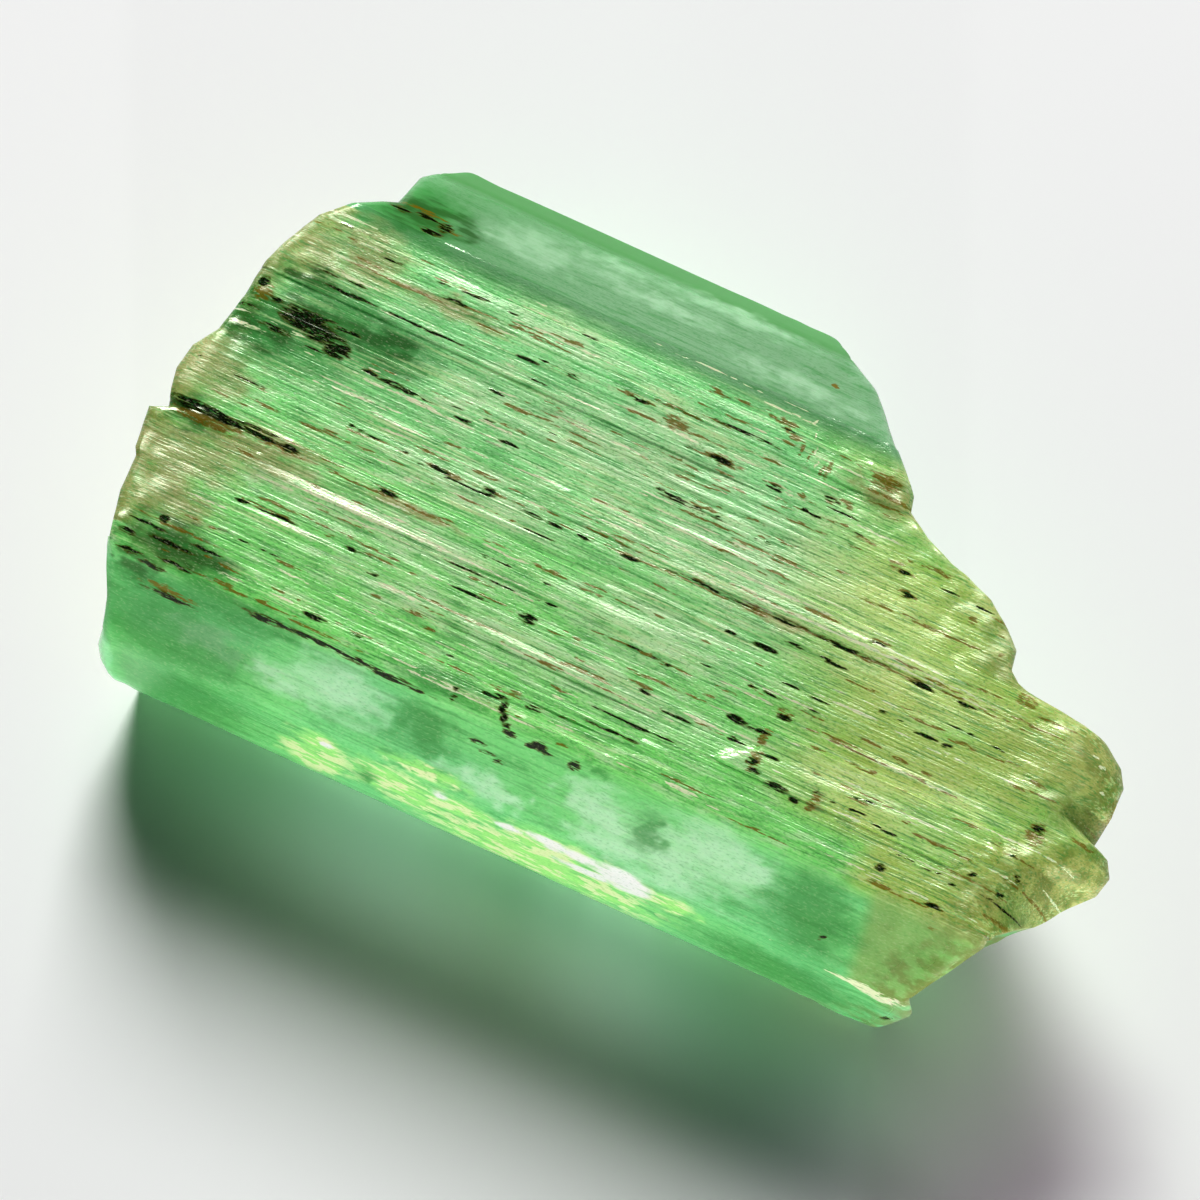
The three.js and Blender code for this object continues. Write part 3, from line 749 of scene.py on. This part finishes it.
def paint(below, colour, *masks):
    """colour laid over the colour below, as far as the product of these masks lets it."""
    node = add_node(tree, "Mix", data_type="RGBA")
    tree.links.new(times(*masks), node.inputs["Factor"])
    if isinstance(below, bpy.types.NodeSocket):
        tree.links.new(below, node.inputs["A"])
    else:
        node.inputs["A"].default_value = (*below, 1)
    node.inputs["B"].default_value = (*colour, 1)
    return node.outputs["Result"]


def ragged(mask, height, amount, start=0.42, end=0.58):
    """A soft mask cut to a ragged edge by a noise height."""
    rough = combine(tree, "MULTIPLY", combine(tree, "SUBTRACT", height, 0.5), amount)
    return ramp(tree, times(mask, combine(tree, "ADD", rough, 1.0)), start, end)


# Where one face gives way to the next, in mm round the section from the front ridge.
TOP_STARTS = (-0.3, 0.05)
FRONT_STARTS = (0.05, -0.1)
TOP_ENDS = (4.85, 4.55)
BACK_STARTS = (4.55, 4.85)
FAR_EDGE = (5.9, 6.08)
FAR_EDGE_DULL = (5.9, 6.1)
UNDERNEATH = (-4.0, -6.0)

split = add_node(tree, "SeparateXYZ")
tree.links.new(place_in_mm(tree), split.inputs[0])
along, back = split.outputs["X"], split.outputs["Y"]
around = layer("around")
top = times(layer("grown"), ramp(tree, around, *TOP_STARTS), ramp(tree, around, *TOP_ENDS))
front = ramp(tree, around, *FRONT_STARTS)
behind = ramp(tree, around, *BACK_STARTS)
under = ramp(tree, around, *UNDERNEATH)

# Noises that cut the masks: two fine speckles, soft clouds, cloth-like and blotchy flecks, threads.
grain = streak("Height", Length=0.05, Width=0.02, Seed=21.0, Detail=1.0)
dash = streak("Height", Length=0.14, Width=0.025, Seed=23.0, Detail=2.0)
clouds = streak(Length=1.6, Width=0.8, Seed=1.0, Detail=1.0, Low=0.35, High=0.65)
cloth = streak("Height", Length=0.45, Width=0.1, Seed=2.0, Detail=3.0)
mottle = streak("Height", Length=0.25, Width=0.2, Seed=9.0, Detail=3.0)
fine = streak("Height", Length=2.0, Width=0.03, Seed=12.0, Detail=2.0)

# The green itself: leaf green in front, sea green behind, darker on the back bevel and the breaks.
colour = paint(EMERALD_GREEN, LEAF_GREEN, clouds, 0.3)
colour = paint(colour, LEAF_GREEN, top, 0.85)
colour = paint(colour, SEA_GREEN, ramp(tree, back, -2.0, 1.0), top, 0.8)
colour = paint(colour, BACK_GREEN, behind)
colour = paint(colour, DEEP_GREEN, ramp(tree, along, -1.5, -4.5), behind, 0.35)
colour = paint(colour, DEEP_GREEN, ramp(tree, grain, 0.5, 0.3), behind, 0.3)
light = ragged(layer("light"), cloth, 2.5, 0.0, 1.0)
colour = paint(colour, MINT, light, 0.85)
colour = paint(colour, MINT, ramp(tree, cloth, 0.5, 0.66), top, 0.6)
colour = paint(colour, DEEP_GREEN, ramp(tree, cloth, 0.48, 0.3), 0.4)
colour = paint(colour, DEEP_GREEN, ramp(tree, fine, 0.5, 0.36), 0.3)
colour = paint(colour, DEEP_GREEN, layer("broken"), 0.6)
# Painted shade: the undercut face at the back foot is darkened.
shaded_back_foot = times(under, ramp(tree, back, 0.5, 1.5))
colour = paint(colour, DEEP_GREEN, shaded_back_foot, 0.6)

# The olive zone at the right, and the far back edge and the back ridge, which are darker.
slanted = combine(tree, "ADD", along, combine(tree, "MULTIPLY", back, 0.25))
near_ridge = combine(tree, "MAXIMUM", ramp(tree, around, 0.25, 0.6), ramp(tree, along, 3.3, 3.7))
right_zone = times(ramp(tree, slanted, 0.9, 2.8), near_ridge, top)
cloudy = combine(tree, "ADD", clouds, 0.6, clamp=True)
colour = paint(colour, OLIVE, right_zone, cloudy, 0.8)
colour = paint(colour, PALE_OLIVE, light, right_zone, 0.7)
front_tip = times(ramp(tree, along, 3.7, 3.92), front, ramp(tree, around, -1.5, -1.35))
colour = paint(colour, DARK_OLIVE, front_tip, 0.8)
far_edge = ramp(tree, around, *FAR_EDGE)
colour = paint(colour, DEEP_GREEN, far_edge, 0.8)
colour = paint(colour, DARK_GREEN, far_edge, 0.35)
back_ridge = times(ramp(tree, around, 4.55, 4.75), ramp(tree, around, 5.0, 4.85))
colour = paint(colour, DEEP_GREEN, back_ridge, 0.12)

# Beige crust at the right break, and khaki weathering at the left one.
beige_zone = ramp(tree, along, 3.0, 5.4)
colour = paint(colour, BEIGE, beige_zone, clouds, top, 0.5)
crust = layer("crusted")
colour = paint(colour, BEIGE, crust, ramp(tree, mottle, 0.35, 0.6), top, 0.7)
colour = paint(colour, CRUST_BROWN, crust, ramp(tree, mottle, 0.6, 0.42), 0.75)
weathered = ragged(layer("weathered"), mottle, 2.0, 0.1, 0.9)
colour = paint(colour, KHAKI, weathered, 0.8)
colour = paint(colour, CRUST_BROWN, weathered, ramp(tree, mottle, 0.54, 0.38), 0.75)
colour = paint(colour, CRUST_BROWN, ramp(tree, layer("weathered"), 0.6, 1.0), 0.5)
colour = paint(colour, SAND, ragged(layer("yellow"), cloth, 1.6, 0.1, 0.9), 0.75)

# Milky veils, painted shade in the clear depths, and painted glow where the light comes through.
colour = paint(colour, MILK, ragged(layer("milk"), mottle, 0.8, 0.0, 0.95), 0.74)
colour = paint(colour, MILK, ragged(layer("pale_back"), mottle, 2.0, 0.0, 1.0), 0.4)
# Painted glow: light green and pale flakes along the lower front edge.
painted_glow = layer("painted_glow")
painted_glow_flakes = streak(Length=0.22, Width=0.07, Seed=17.0, Detail=2.0, Low=0.48, High=0.58)
colour = paint(colour, PAINTED_GLOW_GREEN, ragged(painted_glow, cloth, 2.5, 0.1, 0.8), 0.9)
colour = paint(colour, PAINTED_GLOW_FLAKE, ramp(tree, painted_glow, 0.15, 0.6), painted_glow_flakes)
# Painted glow: white at the brightest spots of the edge.
colour = paint(colour, PAINTED_GLOW_WHITE, ragged(layer("painted_glow_core"), cloth, 2.0, 0.15, 0.65))
# Painted shade: deep green in the clear depths.
colour = paint(colour, DEEP_GREEN, ragged(layer("deep"), mottle, 1.2, 0.0, 0.9), 0.7)
colour = paint(colour, DARK_GREEN, ragged(layer("murk"), cloth, 4.0, 0.1, 0.8), 0.75)

# Pale hairlines, partly painted glints, dark furrows, iron stain and pits.
hair_and_glints = streak(Length=1.1, Width=0.03, Seed=5.0, Detail=2.0, Low=0.5, High=0.64)
clusters = streak(Length=1.4, Width=0.25, Seed=4.0, Detail=1.0, Low=0.45, High=0.62)
colour = paint(colour, HAIR_AND_GLINT_GREEN, layer("pale_band"), hair_and_glints, 0.75)
colour = paint(colour, HAIR_AND_GLINT_GREEN, hair_and_glints, clusters, top, 0.5)
colour = paint(colour, CREAM_AND_GLINT, ragged(layer("pale"), dash, 3.0))
dark_hair = streak(Length=0.5, Width=0.025, Seed=6.0, Detail=2.0, Low=0.54, High=0.68)
colour = paint(colour, DEEP_GREEN, dark_hair, top, 0.6)
stain = ragged(layer("rust"), dash, 5.0, 0.2, 0.55)
colour = paint(colour, RUST, stain, 0.85)
pits = layer("pit")
colour = paint(colour, BROWN, ragged(pits, dash, 5.0, 0.1, 0.45), 0.85)
pitted = ragged(pits, dash, 4.0, 0.4, 0.65)
colour = paint(colour, BLACK, pitted)

# A fine speckle on the top and more faintly in front: painted sparkle in light specks, and dark grain.
speckled = combine(tree, "MAXIMUM", top, times(front, 0.5))
colour = paint(colour, CREAM_AND_GLINT, ramp(tree, grain, 0.54, 0.74), speckled, 0.25)
colour = paint(colour, DEEP_GREEN, ramp(tree, grain, 0.47, 0.25), speckled, 0.5)
tree.links.new(colour, shader.inputs["Base Color"])

# A faint relief of threads and grain, evened out in the pits and the murky places.
MEAN_RELIEF = 0.75
pitted_or_murky = combine(tree, "MAXIMUM", layer("murk"), ramp(tree, pits, 0.1, 0.4))
clean = combine(tree, "SUBTRACT", 1.0, pitted_or_murky)
threads = combine(tree, "ADD", times(fine, top), times(grain, 0.5))
threads = times(combine(tree, "SUBTRACT", threads, MEAN_RELIEF), clean)
bump = add_node(tree, "Bump", Strength=0.35, Distance=0.015 * MM)
tree.links.new(threads, bump.inputs["Height"])
tree.links.new(bump.outputs[0], shader.inputs["Normal"])

# Glassy in the pits, a little duller on the clean skin and more so on the rims. The far back edge
# and the underside are dullest, so that they catch less glint.
GLASS_ROUGHNESS = 0.1
rims = combine(tree, "MAXIMUM", layer("weathered"), crust)
dull = combine(tree, "ADD", times(rims, 0.15), times(top, 0.06))
dull = times(combine(tree, "ADD", dull, 0.08), clean)
dull = combine(tree, "ADD", dull, times(ramp(tree, around, *FAR_EDGE_DULL), 0.5))
dull = combine(tree, "ADD", dull, times(under, 0.4))
tree.links.new(combine(tree, "ADD", dull, GLASS_ROUGHNESS), shader.inputs["Roughness"])
glassy_beryl = {
    "IOR": 1.58, "Specular IOR Level": 0.4, "Specular Tint": (0.95, 1.0, 0.85, 1),
    "Transmission Weight": 0.25, "Subsurface Weight": 0.5, "Subsurface Radius": (0.6, 1.0, 0.75),
    "Subsurface Scale": 1.0 * MM,
}
for name, value in glassy_beryl.items():
    shader.inputs[name].default_value = value
volume = add_node(tree, "VolumeAbsorption", Color=(0.25, 0.8, 0.45, 1), Density=150.0)
tree.links.new(volume.outputs[0], output.inputs["Volume"])

# Light passes through to the shadow, tinted, and more of it at the right and in the clear windows.
clear = add_node(tree, "BsdfTransparent")
shade = paint(SHADE, GREY_SHADE, ramp(tree, along, 1.0, 4.3))
shade = paint(shade, BRIGHT_SHADE, layer("window"))
tree.links.new(shade, clear.inputs["Color"])
rays = add_node(tree, "LightPath")
mix = add_node(tree, "MixShader")
tree.links.new(rays.outputs["Is Shadow Ray"], mix.inputs["Fac"])
tree.links.new(shader.outputs[0], mix.inputs[1])
tree.links.new(clear.outputs[0], mix.inputs[2])
tree.links.new(mix.outputs[0], output.inputs["Surface"])
mesh.materials.append(green)

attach(emerald, "root")
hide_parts(CRYSTAL)

# ---------------------------------------------------------------------------------------------
# The sheet that the crystal lies on
# A plain sheet of matt white paper, much wider than the view. It belongs to the setting, not to
# the part.
# ---------------------------------------------------------------------------------------------
SHEET_SIZE = 0.4
bpy.ops.mesh.primitive_plane_add(size=SHEET_SIZE)
sheet = bpy.context.object
sheet.name = "paper_sheet"
paper = bpy.data.materials.new("paper")
paper.use_nodes = True
paper_shader = paper.node_tree.nodes["Principled BSDF"]
paper_shader.inputs["Base Color"].default_value = (0.87, 0.87, 0.87, 1)
paper_shader.inputs["Roughness"].default_value = 0.9
sheet.data.materials.append(paper)

# ---------------------------------------------------------------------------------------------
# Camera and lights
# The camera looks steeply down from in front and a little to the right. A soft light hangs behind
# the crystal, and a narrow one stands low in front of it and lights the bevel.
# ---------------------------------------------------------------------------------------------
CAMERA_TURN = math.radians(26.7)
CAMERA_RISE = math.radians(65)
CAMERA_DISTANCE = 0.25
VIEW_WIDTH = 13.31 * MM
AIM_HEIGHT = 1.4 * MM
AIM_LEFT = 0.915 * MM
AIM_DOWN = 0.1275 * MM
ahead = Vector((-math.sin(CAMERA_TURN), math.cos(CAMERA_TURN), 0))
across = Vector((math.cos(CAMERA_TURN), math.sin(CAMERA_TURN), 0))
sight = ahead * math.cos(CAMERA_RISE) - Vector((0, 0, math.sin(CAMERA_RISE)))
upward = across.cross(sight)
aim = Vector((0, 0, AIM_HEIGHT)) - across * AIM_LEFT - upward * AIM_DOWN
camera_data = bpy.data.cameras.new("camera")
camera = bpy.data.objects.new("camera", camera_data)
bpy.context.collection.objects.link(camera)
camera.location = aim - sight * CAMERA_DISTANCE
camera.rotation_euler = sight.to_track_quat("-Z", "Y").to_euler()
camera_data.sensor_width = 36
camera_data.lens = camera_data.sensor_width * CAMERA_DISTANCE / VIEW_WIDTH
camera_data.clip_start = 0.01
bpy.context.scene.camera = camera


def lamp(name, turn, rise, distance, size, power):
    """A square soft light that faces the crystal, with turn and rise in degrees, the turn counted
    from the way that the camera looks, distance and size in metres and power in watts."""
    angle = CAMERA_TURN + math.radians(turn)
    way = Vector((-math.sin(angle), math.cos(angle), 0)) * math.cos(math.radians(rise))
    way += Vector((0, 0, math.sin(math.radians(rise))))
    data = bpy.data.lights.new(name, "AREA")
    data.size = size
    data.energy = power
    light = bpy.data.objects.new(name, data)
    bpy.context.collection.objects.link(light)
    light.location = way * distance
    light.rotation_euler = (-way).to_track_quat("-Z", "Y").to_euler()


lamp("key_light", turn=1, rise=37.5, distance=0.4, size=0.16, power=2.58)
lamp("front_strip", turn=180, rise=1, distance=0.4, size=0.013, power=2.0)

# A faint cool light from all round, and the contrast of the picture.
world = bpy.data.worlds.new("studio")
bpy.context.scene.world = world
world.use_nodes = True
sky = world.node_tree.nodes["Background"]
sky.inputs["Color"].default_value = (0.95, 0.97, 1.0, 1)
sky.inputs["Strength"].default_value = 0.012
bpy.context.scene.view_settings.view_transform = "Standard"
bpy.context.scene.view_settings.gamma = 0.8
